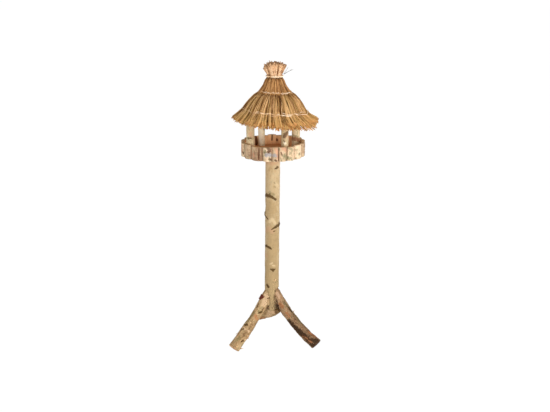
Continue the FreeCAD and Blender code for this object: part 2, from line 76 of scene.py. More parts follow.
class Link:
    """A socket of a material's nodes, on which + - and * add Math nodes."""

    def __init__(self, tree, socket=None):
        self.tree = tree
        self.socket = socket

    def node(self, kind, settings=None, values=None, out=0):
        """Adds a node: its settings first, then the values or links of its sockets."""
        made = self.tree.nodes.new("ShaderNode" + kind)
        for setting, value in (settings or {}).items():
            if setting == "stops":
                ramp = made.color_ramp
                ramp.elements[0].position = value[0][0]
                ramp.elements[-1].position = value[-1][0]
                for place, _ in value[1:-1]:
                    ramp.elements.new(place)
                for element, (_, colour) in zip(ramp.elements, value):
                    element.color = (*colour, 1)
            else:
                setattr(made, setting, value)
        for slot, value in (values or {}).items():
            if isinstance(value, Link):
                self.tree.links.new(value.socket, made.inputs[slot])
            else:
                made.inputs[slot].default_value = value
        return Link(self.tree, made.outputs[out] if made.outputs else None)

    def math(self, operation, first, second):
        return self.node("Math", {"operation": operation}, {0: first, 1: second})

    def __add__(self, other):
        return self.math("ADD", self, other)

    def __sub__(self, other):
        return self.math("SUBTRACT", self, other)

    def __rsub__(self, other):
        return self.math("SUBTRACT", other, self)

    def __mul__(self, other):
        return self.math("MULTIPLY", self, other)

    __radd__ = __add__
    __rmul__ = __mul__

    def rise(self, low, high):
        """0 below low and 1 above high, with a smooth step between them."""
        values = {"Value": self, "From Min": low, "From Max": high}
        return self.node("MapRange", {"interpolation_type": "SMOOTHSTEP"}, values)

    def ramp(self, *stops):
        """The tones of the stops, blended by where this number lies between them."""
        return self.node("ValToRGB", {"stops": stops}, {"Fac": self})

    def over(self, colour, amount):
        """This colour with another one laid over it by an amount from 0 to 1."""
        top = colour if isinstance(colour, Link) else (*colour, 1)
        return self.node("Mix", {"data_type": "RGBA"}, {0: amount, 6: self, 7: top}, 2)

    def noted(self, name, out="Fac"):
        """A number, or a vector, that the piece keeps for each vertex."""
        return self.node("Attribute", {"attribute_name": name}, out=out)

    def grain(self, scale, detail=2.0, stretch=(1, 1, 1), shift=(0, 0, 0), roughness=0.5):
        """Noise from 0 to 1 on this vector, with a number of waves to the metre."""
        sizes = [scale * way for way in stretch]
        turned = self.node("Mapping", None, {"Vector": self, "Location": shift, "Scale": sizes})
        values = {"Vector": turned, "Scale": 1.0, "Detail": detail, "Roughness": roughness}
        return self.node("TexNoise", None, values)


def begin(name):
    """An empty material and the Link that its nodes start from."""
    material = bpy.data.materials.new(name)
    material.use_nodes = True
    material.node_tree.nodes.clear()
    return material, Link(material.node_tree)


def cover(start, colour, roughness, height=None, depth=0.0005, **steady):
    """Ends a material in one shader. Steady values are set on the shader's own sockets."""
    values = {"Base Color": colour, "Roughness": roughness, "Specular IOR Level": 0.06}
    if height is not None:
        bump = {"Height": height, "Strength": 1.0, "Distance": depth}
        values["Normal"] = start.node("Bump", None, bump)
    for slot, value in steady.items():
        values[slot.replace("_", " ")] = value
    shader = start.node("BsdfPrincipled", None, values)
    start.node("OutputMaterial", None, {"Surface": shader})


world = bpy.data.worlds.new("sky")
bpy.context.scene.world = world
world.use_nodes = True
world.node_tree.nodes.clear()
sky = Link(world.node_tree)


def seen_directly(start):
    """1 for what the camera sees, also by reflection or through glass, and 0 for plain light."""
    camera_ray = start.node("LightPath", out="Is Camera Ray")
    glossy_ray = start.node("LightPath", out="Is Glossy Ray")
    through_ray = start.node("LightPath", out="Is Transmission Ray")
    return (camera_ray + glossy_ray + through_ray).rise(0.0, 1.0)


sky_light = sky.node("Background", None, {"Color": (1.0, 1.0, 1.0, 1), "Strength": 0.46})
white_sky = sky.node("Background", None, {"Color": (1, 1, 1, 1), "Strength": 1.0})
sky_values = {0: seen_directly(sky), 1: sky_light, 2: white_sky}
sky.node("OutputWorld", None, {"Surface": sky.node("MixShader", None, sky_values)})

# The floor reaches far past the view and lies just under the feet
bpy.ops.mesh.primitive_plane_add(size=400, location=(0, 0, -0.0005))
floor = bpy.context.object
floor.name = "studio_floor"
floor_paper, start = begin("studio_paper")
paper = start.node("BsdfDiffuse", None, {"Color": (0.9, 0.9, 0.9, 1)})
glow = start.node("Emission", None, {"Color": (1, 1, 1, 1), "Strength": 1.04})
share = seen_directly(start) * 0.96
mixed = start.node("MixShader", None, {0: share, 1: paper, 2: glow})
start.node("OutputMaterial", None, {"Surface": mixed})
floor.data.materials.append(floor_paper)

# Each lamp: place, side of its square, power
lamps = {
    "lamp_right": ((3.2, -2.2, 1.7), 1.8, 84),
    "lamp_left": ((-3.0, -2.4, 1.4), 2.2, 24),
    "lamp_front": ((0.2, -3.7, 1.4), 1.3, 64),
    "lamp_top": ((0.3, 0.2, 3.6), 2.4, 8),
}
for name, (place, side, power) in lamps.items():
    bpy.ops.object.light_add(type="AREA", location=place)
    lamp = bpy.context.object
    lamp.name = name
    lamp.data.size = side
    lamp.data.energy = power
    aim = Vector((0, 0, 0.9)) - Vector(place)
    lamp.rotation_euler = aim.to_track_quat("-Z", "Y").to_euler()


# Trunk. A straight birch log, a little leaning, sawn flat at both ends and where the three
# legs seat. It keeps its smooth pale bark, with the dark brows and knots of lost twigs.


def alone(piece):
    """Selects one object and makes it active, with nothing else selected."""
    bpy.ops.object.select_all(action="DESELECT")
    piece.select_set(True)
    bpy.context.view_layer.objects.active = piece


def added(name, mesh):
    """A new object with this mesh or curve, the only one selected."""
    piece = bpy.data.objects.new(name, mesh)
    bpy.context.scene.collection.objects.link(piece)
    alone(piece)
    return piece


def dress(piece, *finishes):
    """Gives a piece its materials, in the order in which its faces number them."""
    for finish in finishes:
        piece.data.materials.append(finish)


def modified(piece, kind, **settings):
    """Adds a modifier with its settings and applies it."""
    alone(piece)
    modifier = piece.modifiers.new(kind.lower(), kind)
    for setting, value in settings.items():
        setattr(modifier, setting, value)
    bpy.ops.object.modifier_apply(modifier=modifier.name)


def copy_of(node, name):
    """A copy of a CAD node with its own mesh, whose loose triangles are merged."""
    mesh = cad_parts[node].data.copy()
    mesh.materials.clear()
    mesh.name = name
    piece = added(name, mesh)
    bpy.ops.object.mode_set(mode="EDIT")
    bpy.ops.mesh.select_all(action="SELECT")
    bpy.ops.mesh.remove_doubles(threshold=0.00002)
    bpy.ops.object.mode_set(mode="OBJECT")
    return piece


def field_of(items, field, size=3, kind=float):
    """One field of all the vertices, faces or corners of a mesh, a row for each."""
    values = np.zeros(len(items) * size, kind)
    items.foreach_get(field, values)
    return values.reshape(-1, size) if size > 1 else values


def points_of(piece):
    return field_of(piece.data.vertices, "co")


def normals_of(piece):
    return field_of(piece.data.vertices, "normal")


def move_to(piece, points):
    piece.data.vertices.foreach_set("co", np.ascontiguousarray(points, float).ravel())
    piece.data.update()


def note(piece, name, values):
    """Keeps a number or a vector for each vertex, for the material to read."""
    kind, field = ("FLOAT", "value") if values.ndim == 1 else ("FLOAT_VECTOR", "vector")
    attribute = piece.data.attributes.new(name, kind, "POINT")
    attribute.data.foreach_set(field, values.astype(np.float32).ravel())


def within(values):
    """Values held between 0 and 1."""
    return np.clip(values, 0, 1)


def nearness(points, line, reach):
    """1 on a line drawn on the bark, falling to 0 at reach from it. A fourth number at a point
    of the line makes the reach that much wider or narrower there."""
    stops = [np.array((*point, 1.0)[:4]) for point in line]
    close = np.zeros(len(points))
    for first, second in zip(stops, stops[1:] + stops[-1:]):
        run = second - first
        share = (points - first[:3]) @ run[:3] / max(run[:3] @ run[:3], 1e-12)
        share = within(share)[:, None]
        off = np.linalg.norm(points - first[:3] - share * run[:3], axis=1)
        close = np.maximum(close, 1 - off / (reach * (first[3] + share[:, 0] * run[3])))
    return close


def rough(points, waves, octaves):
    """Fractal noise at each point, with a number of waves to the metre."""
    return np.array([noise.fractal(Vector(p) * waves, 1.0, 2.0, octaves) for p in points])


def barked(piece, voxel, line, radius, sawn_planes, marks, relief, sway, shift=0.0):
    """Remeshes a log finely, roughens its bark, leaves its sawn faces flat and notes where its
    marks lie. Line is the log's middle line: its two ends and the sag half way. A log with a
    radius is rounded to it first. Each sawn plane has a point, the way it faces, and whether it
    shows. Relief and sway are how high the fine and the broad waves of the bark are."""
    modified(piece, "REMESH", mode="VOXEL", voxel_size=voxel)
    foot, head, sag = (np.array(point) for point in line)
    length = np.linalg.norm(head - foot)
    along = (head - foot) / length
    across = np.cross(along, (0, 1, 0) if abs(along[2]) > 0.9 else (0, 0, 1))
    across /= np.linalg.norm(across)
    above = np.cross(across, along)

    faces = piece.data.polygons
    centres, ways = field_of(faces, "center"), field_of(faces, "normal")
    sawn = np.zeros(len(faces), bool)
    shown = np.zeros(len(faces), bool)
    for point, way, seen in sawn_planes:
        near = abs((centres - point) @ way) < 0.8 * voxel
        flat = near & (ways @ way > 0.92)
        sawn |= flat
        shown |= flat & seen
    faces.foreach_set("material_index", shown.astype(np.int32))
    corners = field_of(piece.data.loops, "vertex_index", 1, np.int32)
    totals = field_of(faces, "loop_total", 1, np.int32)
    bark = np.ones(len(piece.data.vertices))
    bark[corners[np.repeat(sawn, totals)]] = 0.0

    points = points_of(piece)
    share = (points - foot) @ along / length
    middle = foot + share[:, None] * along * length + (4 * share * (1 - share))[:, None] * sag
    out = points - middle
    off = np.linalg.norm(out, axis=1)
    away = out / np.maximum(off, 1e-6)[:, None]
    if radius:
        ways = away
        near_round = abs(off - radius) < 0.0016
        skin = bark * near_round
        points = points + ways * ((radius - off) * skin)[:, None]
    else:
        ways = normals_of(piece)
        skin = bark * within(2 * np.sum(ways * away, axis=1) - 0.3)
    log = np.stack([out @ across, out @ above, share * length + shift], axis=1)

    lift = relief * rough(log * (1, 1, 0.6), 70, 4) + 0.4 * relief * rough(log, 260, 2)
    lift += sway * rough(log * (0.4, 0.4, 1.0), 9, 2)
    noted = {"scar": 0.0, "moss": 0.0, "raw": 0.0, "pale": 0.0, "bare": 0.0}
    for kind, reach, height, *stops in marks:
        drawn = [(x / 1000, y / 1000, z / 1000, *wide) for x, y, z, *wide in stops]
        close = nearness(points, drawn, reach / 1000)
        noted[kind] = np.maximum(noted[kind], close)
        lift += height / 1000 * (close * close * (3 - 2 * close))
    points = points + ways * (lift * skin)[:, None]
    points[:, 2] = np.maximum(points[:, 2], 0.0)
    move_to(piece, points)
    noted["scar"] -= 0.55 * noted.pop("bare")
    note(piece, "log", log)
    for kind, values in noted.items():
        note(piece, kind, np.zeros(len(points)) + values)
    alone(piece)
    bpy.ops.object.shade_smooth()


def bark_finish(name, fleck, blotch, spread, specks, *tones):
    """Birch bark: mottled skin with short level flecks, dark scars, moss, raw bark and pale
    patches where the piece notes them. Fleck, blotch and specks say how much of each there is,
    and a small spread sets the tones harder against each other. The tones are the skin's light,
    middle and dark, and those of scars, moss, raw bark and pale patches."""
    light, middle, dark, scar, moss, raw, pale = paints(tones)
    material, start = begin(name)
    log = start.noted("log", "Vector")
    noted = {kind: start.noted(kind) for kind in ("scar", "moss", "raw", "pale", "tint")}
    broad = log.grain(14, 3.0, (1, 1, 0.5))
    mottle = log.grain(75, 4.0, (1, 1, 0.6), (3, 1, 2), 0.65)
    fine = log.grain(420, 3.0, (1, 1, 0.5), (7, 2, 5), 0.6)
    level = log.grain(1, 2.0, (34, 34, 330), (2, 9, 4), 0.6)
    ragged = log.grain(160, 3.0, (1, 1, 1.4), (5, 5, 1), 0.7)
    seam = log.grain(1, 2.0, (230, 230, 14), (1, 4, 8), 0.6)

    tone = broad * 0.5 + mottle * 0.5 + noted["tint"]
    bands = (level + (mottle - 0.5) * 0.25).rise(0.62, 0.70)
    torn = (ragged - 0.5) * 1.3 + (mottle - 0.5) * 1.2

    def patch(kind, low, high):
        return (noted[kind] + torn * noted[kind].rise(0.0, 0.2)).rise(low, high)

    scarred = patch("scar", 0.2, 0.55)
    colour = tone.ramp((0.48 - spread, dark), (0.48, middle), (0.48 + spread, light))
    for laid, amount in (
        (pale, (fine - 0.5).rise(-0.1, 0.25) * 0.22),
        (dark, seam.rise(0.56, 0.75) * 0.3),
        (scar, bands * fleck * fine.rise(0.3, 0.6)),
        (moss, (mottle + broad * 0.4).rise(0.74, 0.9) * blotch),
        (raw, (ragged * 0.5 + broad * 0.5).rise(0.56, 0.66) * blotch * 0.35),
        (scar, (ragged * 0.5 + fine * 0.5).rise(0.55, 0.64) * specks),
        (pale, patch("pale", 0.15, 0.6) * 0.85),
        (raw, patch("raw", 0.15, 0.6) * (0.35 + fine * 0.6)),
        (moss, patch("moss", 0.2, 0.7) * (0.2 + fine * 0.8)),
        (scar, scarred * (0.65 + fine * 0.4)),
    ):
        colour = colour.over(laid, amount)
    height = mottle * 0.8 + fine * 0.5 + seam * 0.4 - bands * 0.6 - scarred * (1.0 - ragged)
    cover(start, colour, 0.62 + scarred * 0.25 + (fine - 0.5) * 0.2, height, 0.0011)
    return material


def sawn_finish(name, *tones, stretch=(1, 1, 1)):
    """Sawn birch in a light, a middle and a dark tone: fine grain, drawn out where the stretch
    is small, darker streaks, the odd stain, and a knot or a crack where the piece notes a scar."""
    light, middle, dark = paints(tones)
    material, start = begin(name)
    knot = start.noted("scar")
    place = start.node("TexCoord", out="Object")
    grain = place.grain(260, 3.0, stretch, (1, 2, 3), 0.6)
    rings = place.grain(55, 3.0, stretch, (4, 7, 2), 0.55)
    stain = place.grain(18, 3.0, (1, 1, 1), (9, 3, 1), 0.6)
    tone = grain * 0.4 + rings * 0.35 + stain * 0.25
    colour = tone.ramp((0.34, dark), (0.5, middle), (0.64, light))
    colour = colour.over(dark, (rings * 0.7 + stain * 0.3).rise(0.6, 0.7) * 0.5)
    colour = colour.over(paint(88, 50, 28), knot.rise(0.1, 0.6) * 0.9)
    cover(start, colour, 0.7 + grain * 0.15, grain + rings * 0.5, 0.0004)
    return material


scar_brown = (66, 42, 8)
trunk_bark = bark_finish(
    "birch_bark_trunk", 0.3, 0.35, 0.17, 0.0, (220, 198, 162), (200, 177, 141), (168, 142, 102),
    scar_brown, (128, 116, 78), (184, 146, 112), (200, 176, 138),
)
end_grain = sawn_finish("sawn_end_grain", (226, 190, 148), (206, 166, 122), (160, 116, 76))

# Marks, in millimetres: kind, reach, how far it stands out, and the points of the line that it
# is drawn along. A fourth number at a point is a factor on its reach there. Bare thins a scar.
trunk_marks = [
    ("scar", 9, 1, (9, -36, 962, 0.5), (17, -33, 966, 1.1), (25, -26, 969, 1.2)),
    ("scar", 15, 1.6, (-40, -7, 811, 0.9), (-31, -26, 819, 1.1), (-18, -35, 818, 1.2)),
    ("scar", 10, 1, (-18, -35, 819, 1.5), (-6, -38, 811, 1.2), (6, -37, 803, 0.8),
     (14, -34, 798, 1.0)),
    ("scar", 12, 4, (-43, -4, 716), (-43, -6, 706)),
    ("scar", 7, 0, (-40, -10, 703, 1.2), (-34, -22, 696), (-28, -30, 690)),
    ("scar", 10, 0, (-9, -38, 633, 0.4), (5, -37, 642, 0.8), (18, -31, 650, 1.4)),
    ("scar", 14, 4, (14, -33, 648, 0.9), (24, -26, 653, 1.2), (33, -10, 655, 1.2)),
    ("scar", 5, 0, (2, -38, 622), (10, -36, 624)),
    ("scar", 10, 1, (-43, -7, 531), (-33, -27, 535, 1.3), (-21, -35, 531, 1.2),
     (-10, -38, 523, 0.5)),
    ("scar", 10, 1, (-15, -37, 408, 0.4), (-1, -38, 402, 1.5), (14, -34, 407, 0.4)),
    ("scar", 10, 0, (-33, -28, 312), (-28, -32, 302, 1.3)),
    ("scar", 10, 0, (12, -34, 276)),
    ("scar", 5, 0, (-44, -8, 392), (-44, -3, 362)),
    ("scar", 5, 1, (31, -14, 520), (34, -9, 500)),
    # Painted shade: these three are dark hollows at the trunk's foot, beside the front legs' seats
    ("scar", 21, -1, (-28, -26, 194, 0.7), (-29, -23, 176), (-34, -12, 165)),
    ("scar", 13, -1, (19, -32, 190, 0.6), (20, -31, 170)),
    ("scar", 16, -1, (24, -22, 184), (25, -8, 166)),
    ("scar", 10, 1, (-20, 34, 880), (5, 38, 872), (22, 30, 880)),
    ("scar", 12, 2, (30, 18, 720), (18, 32, 730), (0, 37, 722)),
    ("scar", 9, 1, (-36, 14, 560), (-24, 30, 566), (-8, 37, 558)),
    ("scar", 9, 1, (30, 20, 420), (12, 36, 414)),
    ("moss", 12, -2, (-45, 4, 760), (-45, -10, 720)),
    ("moss", 10, -2, (-45, -6, 640), (-46, 6, 600)),
    ("moss", 12, 0, (-46, -6, 430), (-47, -6, 330)),
    ("moss", 12, 0, (-18, -33, 835), (4, -37, 826)),
    ("moss", 6, 0, (13, -32, 328), (20, -27, 337), (24, -23, 326)),
    ("moss", 9, 0, (6, -38, 890, 0.6), (10, -37, 884, 0.7)),
    ("moss", 6, 0, (8, -37, 868), (12, -36, 864)),
    ("raw", 22, 0, (-34, -20, 998), (-6, -37, 996), (20, -30, 1000)),
    ("raw", 22, 0, (-36, -14, 620), (-22, -31, 636), (-6, -37, 622)),
    ("raw", 16, 0, (-40, -6, 490), (-34, -22, 478)),
    ("pale", 14, 0, (-18, -34, 676), (-4, -38, 690), (12, -36, 668)),
    ("pale", 12, 0, (14, -34, 880), (22, -28, 868)),
    ("pale", 7, 0.5, (-16, -37, 436), (-6, -38, 443)),
    ("pale", 7, 0.5, (-2, -38, 428), (12, -36, 424)),
    ("pale", 9, 2.5, (31, -17, 517), (35, -9, 498), (31, -17, 481)),
]

# Each leg: azimuth of its seat on the trunk, its middle line's ends and sag, its radius
leg_forms = {
    "leg_front_left": (205, (-0.0344, -0.0118, 0.232), (-0.209, -0.200, 0.0223), -0.002, 0.0305),
    "leg_front_right": (-22, (0.017, -0.0105, 0.242), (0.221, -0.1681, 0.0242), -0.012, 0.0305),
    "leg_rear": (76, (-0.0022, 0.0272, 0.170), (-0.0804, 0.1873, 0.0236), -0.0005, 0.033),
}


def outward(azimuth):
    """The level way that leads outwards at an azimuth in degrees."""
    turn = math.radians(azimuth)
    return np.array((math.cos(turn), math.sin(turn), 0))


trunk_radius = 0.038
foot_centre, top_centre = (-0.009, 0.0, 0.160), (-0.001, 0.0, 1.035)
trunk_flats = [(foot_centre, (0, 0, -1), True), (top_centre, (0, 0, 1), True)]
for azimuth, seat, *_ in leg_forms.values():
    trunk_flats.append((seat, outward(azimuth), False))

trunk = copy_of("trunk", "birch_trunk")
barked(
    trunk, 0.0021, (foot_centre, top_centre, (0, 0, 0)), trunk_radius, trunk_flats, trunk_marks,
    relief=0.0009, sway=0.0016,
)
# The bark is darker toward the foot, and painted shade darkens its front against the light of the
# front lamps
corners = points_of(trunk)
painted_front_shade = within(-corners[:, 1] / trunk_radius)
note(trunk, "tint", -0.12 * within((0.95 - corners[:, 2]) / 0.7) - 0.16 * painted_front_shade)
dress(trunk, trunk_bark, end_grain)
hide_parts("trunk")
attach(trunk, "root")


# Legs. Three bent birch branches, mitred to the trunk and sawn square at the foot, where they
# stand on their lower edge. The bark is rougher than the trunk's and comes away in places.

leg_marks = {
    "leg_front_left": [
        ("scar", 12, 1, (-153, -137, 128), (-146, -138, 131)),
        ("scar", 7, 0, (-176, -151, 106), (-163, -153, 114)),
        ("scar", 8, 0, (-168, -198, 60), (-159, -190, 64)),
        ("scar", 12, 0, (-38, -52, 200), (-36, -50, 188)),
        ("scar", 8, 0, (-52, -78, 196), (-64, -88, 178), (-78, -94, 178)),
        ("scar", 8, 0, (-84, -60, 214), (-92, -70, 200)),
        ("raw", 15, 1, (-98, -108, 168), (-89, -113, 154)),
        ("moss", 10, 0, (-80, -90, 186), (-60, -84, 178)),
        ("moss", 16, 0, (-110, -90, 180), (-150, -125, 142)),
        ("moss", 18, 0, (-182, -186, 78), (-196, -192, 62)),
        ("pale", 21, 0, (-40, -32, 250), (-44, -48, 232), (-54, -60, 214)),
        ("pale", 10, 0, (-164, -146, 117), (-150, -155, 110), (-132, -157, 101)),
        ("pale", 10, 1, (-142, -172, 67), (-146, -182, 60)),
    ],
    "leg_front_right": [
        ("scar", 26, -0.8, (89, -104, 128), (112, -124, 108), (139, -145, 83), (165, -165, 60),
         (191, -184, 41), (209, -196, 33)),
        ("scar", 17, -0.8, (137, -138, 98), (165, -158, 76), (191, -176, 56), (216, -186, 48)),
        ("scar", 7, 0, (86, -66, 198), (107, -77, 177)),
        ("scar", 8, 0, (19, -46, 236, 0.4), (21, -49, 226, 0.6), (24, -52, 208)),
        ("scar", 19, 0, (24, -52, 200), (26, -50, 190), (32, -52, 176)),
        ("scar", 24, 0, (200, -180, 56), (222, -182, 50)),
        ("raw", 16, 0, (40, -61, 214), (50, -69, 202)),
        ("raw", 14, 0, (76, -88, 172), (88, -95, 160)),
        ("raw", 13, 1, (190, -147, 88), (211, -150, 73), (229, -154, 57)),
        ("raw", 18, 0, (158, -158, 69), (192, -181, 48)),
        ("bare", 20, 0, (156, -157, 70), (194, -182, 47)),
        ("moss", 16, 0, (68, -56, 216), (86, -64, 200), (107, -73, 180), (134, -92, 152),
         (160, -110, 128)),
        ("pale", 13, 0, (24, -30, 262), (34, -42, 244)),
    ],
    "leg_rear": [
        ("scar", 6, 0, (-34, 36, 146), (-12, 30, 143), (10, 25, 152)),
        ("scar", 11, 0, (14, 25, 146), (27, 20, 142), (24, 24, 130)),
        ("scar", 10, 0, (18, 75, 110), (4, 110, 80)),
        ("scar", 10, 1, (-60, 190, 58), (-40, 170, 55)),
        ("raw", 22, 0, (-55, 110, 50), (-77, 153, 13)),
        ("moss", 16, 0, (-50, 120, 110), (-75, 165, 70)),
        ("pale", 12, 0, (-20, 110, 115), (-60, 190, 45)),
        ("pale", 15, 0, (-45, 75, 85), (-36, 36, 129), (-18, 31, 126)),
    ],
}
left_bark = bark_finish(
    "birch_bark_left", 0.45, 0.8, 0.12, 0.25, (204, 176, 134), (170, 138, 98), (112, 84, 54),
    scar_brown, (112, 104, 64), (176, 116, 72), (206, 173, 136),
)
right_bark = bark_finish(
    "birch_bark_right", 0.5, 1.0, 0.10, 0.4, (172, 140, 106), (130, 100, 72), (70, 48, 32),
    (36, 18, 8), (80, 76, 46), (156, 98, 60), (190, 156, 126),
)
weathered_end = sawn_finish("sawn_end_weathered", (84, 58, 40), (62, 40, 28), (40, 26, 18))
# The left leg has a flat at its top: the way it faces and its distance from the middle line
facet_way, facet_depth = np.array((0.0, -0.735, 0.677)), 0.0262
# Where the rear leg swells: a line, the reach about it, how far the bark shifts, how steeply
rear_swellings = [
    ([(0.026, 0.036, 0.128), (-0.012, 0.05, 0.108)], 0.070, (0.027, 0.0, -0.018), 0.7),
    ([(-0.026, 0.080, 0.072), (-0.048, 0.118, 0.048)], 0.055, (0.0, 0.0, -0.014), 1.0),
]
# How each front leg bends beyond its middle line, half way down and at the foot, and how much
# slimmer it is half way down
leg_bends = {
    "leg_front_left": ((0.004, 0.0, -0.002), (0.0, 0.0, 0.0), 0.10),
    "leg_front_right": ((-0.004, 0.0, -0.003), (0.011, 0.004, 0.0), 0.05),
}
for node, (azimuth, seat, foot, sag, radius) in leg_forms.items():
    run = np.array(foot) - np.array(seat)
    drop = run + np.array((0, 0, -4 * sag))
    drop /= np.linalg.norm(drop)
    flats = [
        (seat, -outward(azimuth), False), (foot, drop, True), ((0, 0, 0), (0, 0, -1), True)
    ]
    leg = copy_of(node, "birch_" + node)
    barked(
        leg, 0.0019, (seat, foot, (0, 0, sag)), radius, flats, leg_marks[node],
        relief=0.0021, sway=0.003, shift=azimuth / 10,
    )
    corners = points_of(leg)
    if node == "leg_rear":
        for line, reach, swell, steepness in rear_swellings:
            spread = nearness(corners, line, reach).clip(0, 1)[:, None]
            corners = corners + spread ** steepness * swell
        corners[:, 2] = np.maximum(corners[:, 2], 0.0)
        # Painted shade: its butt is darker where it stands out beside the trunk, in the trunk's
        # shadow
        shaded = within((corners[:, 0] - 0.006) / 0.022)
        shaded *= within((0.062 - corners[:, 1]) / 0.030)
        note(leg, "tint", -0.06 - 0.34 * shaded)
    if node in leg_bends:
        half_way, end, slim = leg_bends[node]
        part = within((corners - seat) @ run / (run @ run))[:, None]
        bow = np.sin(math.pi * part)
        off = corners - seat - part * run - 4 * part * (1 - part) * np.array((0, 0, sag))
        corners = corners + bow * half_way + part ** 3 * end - slim * bow * off
    if node == "leg_front_left":
        down = (corners - seat) @ drop
        over = within((corners - seat) @ facet_way - facet_depth)
        over *= within(9 - 140 * down)
        corners = corners - over[:, None] * facet_way
        note(leg, "tint", 0.16 * (over > 0.0004))
    move_to(leg, corners)
    right = node == "leg_front_right"
    dress(leg, *((right_bark, weathered_end) if right else (left_bark, end_grain)))
    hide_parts(node)
    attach(leg, "root")


# Flakes. Bark comes away from the legs and the trunk in thin curls, still held at one edge, and
# two broken twigs stand out, one at the left foot and one on the right leg.

peeled_bark = sawn_finish("peeled_bark", (232, 204, 164), (208, 172, 128), (166, 124, 84))
red_bark = sawn_finish("red_bark", (140, 78, 56), (110, 56, 40), (78, 38, 26))
# Each flake: where it is attached, the way it runs, the way it curls, length, width, bend
flakes = [
    ((-0.190, -0.158, 0.090), (-0.3, -0.3, -0.5), (-0.6, 0.2, 0.6), 0.016, 0.012, 1.2),
    ((-0.143, -0.175, 0.066), (0.3, 0.1, 0.2), (0.8, -0.5, -0.2), 0.020, 0.014, 1.9),
    ((-0.137, -0.168, 0.074), (0.5, 0.2, 0.1), (0.7, -0.6, 0.1), 0.012, 0.010, 1.6),
    ((-0.056, -0.0297, 0.249), (-0.5, -0.25, -0.75), (-0.6, -0.3, 0.6), 0.028, 0.024, 0.5),
    ((0.010, -0.037, 0.345), (0.7, -0.1, -0.5), (0.1, -0.9, 0.1), 0.010, 0.008, 1.2),
]
for number, (place, run, out, length, width, bend) in enumerate(flakes, 1):
    bpy.ops.object.select_all(action="DESELECT")
    bpy.ops.mesh.primitive_grid_add(x_subdivisions=8, y_subdivisions=3, size=1)
    flake = bpy.context.object
    flake.name = f"bark_flake_{number}"
    run = np.array(run) / np.linalg.norm(run)
    out = np.array(out) - run * (run @ out)
    out = out / np.linalg.norm(out)
    flat = points_of(flake)
    turned = bend * (flat[:, 0] + 0.5)[:, None]
    ways = (run * np.sin(turned) + out * (1 - np.cos(turned))) * length / bend
    beside = np.cross(run, out) * width * (flat[:, 1] * (1.3 - flat[:, 0]))[:, None]
    move_to(flake, np.array(place) + ways + beside)
    modified(flake, "SOLIDIFY", thickness=0.0007)
    bpy.ops.object.shade_smooth()
    dress(flake, red_bark if number == 4 else peeled_bark)
    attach(flake, "root")
for name, place, way, length in (
    ("twig_left_foot", (-0.168, -0.204, 0.022), (0.8, -0.2, 0.15), 0.020),
    ("twig_right_leg", (0.110, -0.068, 0.168), (0.35, -0.1, 0.9), 0.022),
):
    bpy.ops.object.select_all(action="DESELECT")
    turn = Vector(way).to_track_quat("Z", "Y").to_euler()
    bpy.ops.mesh.primitive_cone_add(
        vertices=8, radius1=0.0032, radius2=0.0012, depth=length, location=place, rotation=turn
    )
    twig = bpy.context.object
    twig.name = name
    bpy.ops.object.transform_apply(location=True, rotation=True, scale=True)
    bpy.ops.object.shade_smooth()
    dress(twig, peeled_bark)
    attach(twig, "root")


# Tray fence. Eighteen half logs stand side by side round the floor, sawn face inwards, each
# nailed to the floor's edge. They differ in width, in height and in the tone of their bark.

# The radius of the half logs' sawn faces round the tray
fence_radius = 0.1428
stave_marks = {
    17: [
        ("scar", 14, 1, (-24, -163, 1096), (-16, -164, 1094), (-14, -163, 1084), (-21, -163, 1082)),
        ("scar", 7, 1, (-15, -159, 1044), (-10, -156, 1041)),
        ("pale", 15, 1.2, (-31, -162, 1064), (-20, -164, 1067), (-6, -158, 1062)),
        ("raw", 12, 0, (-6, -160, 1098), (-4, -158, 1080)),
    ],
    18: [
        ("pale", 13, 1, (4, -160, 1064), (12, -165, 1063), (20, -163, 1060)),
        ("raw", 14, 0, (16, -164, 1092), (24, -161, 1072), (26, -160, 1050)),
        ("scar", 11, -2, (31, -156, 1098, 0.7), (32, -155, 1070), (32, -155, 1036)),
        ("scar", 7, 1, (12, -164, 1040), (17, -163, 1036)),
    ],
    1: [
        ("raw", 14, 0, (49, -157, 1097), (60, -151, 1090)),
        ("moss", 21, 0, (56, -153, 1058), (64, -147, 1050), (68, -143, 1040)),
        ("scar", 6, 0, (40, -157, 1076), (44, -157, 1064)),
    ],
    2: [
        ("moss", 14, 0, (79, -139, 1099), (92, -131, 1083), (86, -136, 1066)),
        ("moss", 12, 0, (90, -134, 1045), (74, -144, 1043)),
    ],
    16: [
        ("scar", 6, -2, (-69, -147, 1096, 0.7), (-70, -146, 1066, 1.2), (-70, -146, 1040)),
        ("raw", 10, 0, (-97, -131, 1064), (-95, -133, 1052)),
        ("pale", 10, 0, (-50, -156, 1090), (-48, -156, 1060)),
    ],
    15: [("moss", 12, 0, (-101, -123, 1058), (-90, -134, 1046))],
    8: [("scar", 10, 0, (18, 142.8, 1077), (20, 142.8, 1073))],
    9: [("scar", 6, 0, (-5, 142.8, 1104), (-6, 142.8, 1074))],
    # Painted shade: a dark stripe down the sawn inner face, where the left posts shade it
    11: [("scar", 16, 0, (-92, 109, 1104, 0.7), (-89, 112, 1082), (-88, 113, 1062))],
    14: [
        ("scar", 6, 0, (-151, -54, 1054), (-149, -56, 1046)),
        ("raw", 13, 0, (-157, -46, 1086), (-157, -48, 1060)),
    ],
    4: [("scar", 10, 0, (160, -39, 1052), (160, -40, 1040))],
}
stave_bark = bark_finish(
    "birch_bark_stave", 0.6, 1.0, 0.10, 0.7, (230, 204, 168), (204, 174, 138), (150, 116, 86),
    (84, 50, 32), (116, 112, 78), (196, 140, 110), (158, 152, 152),
)
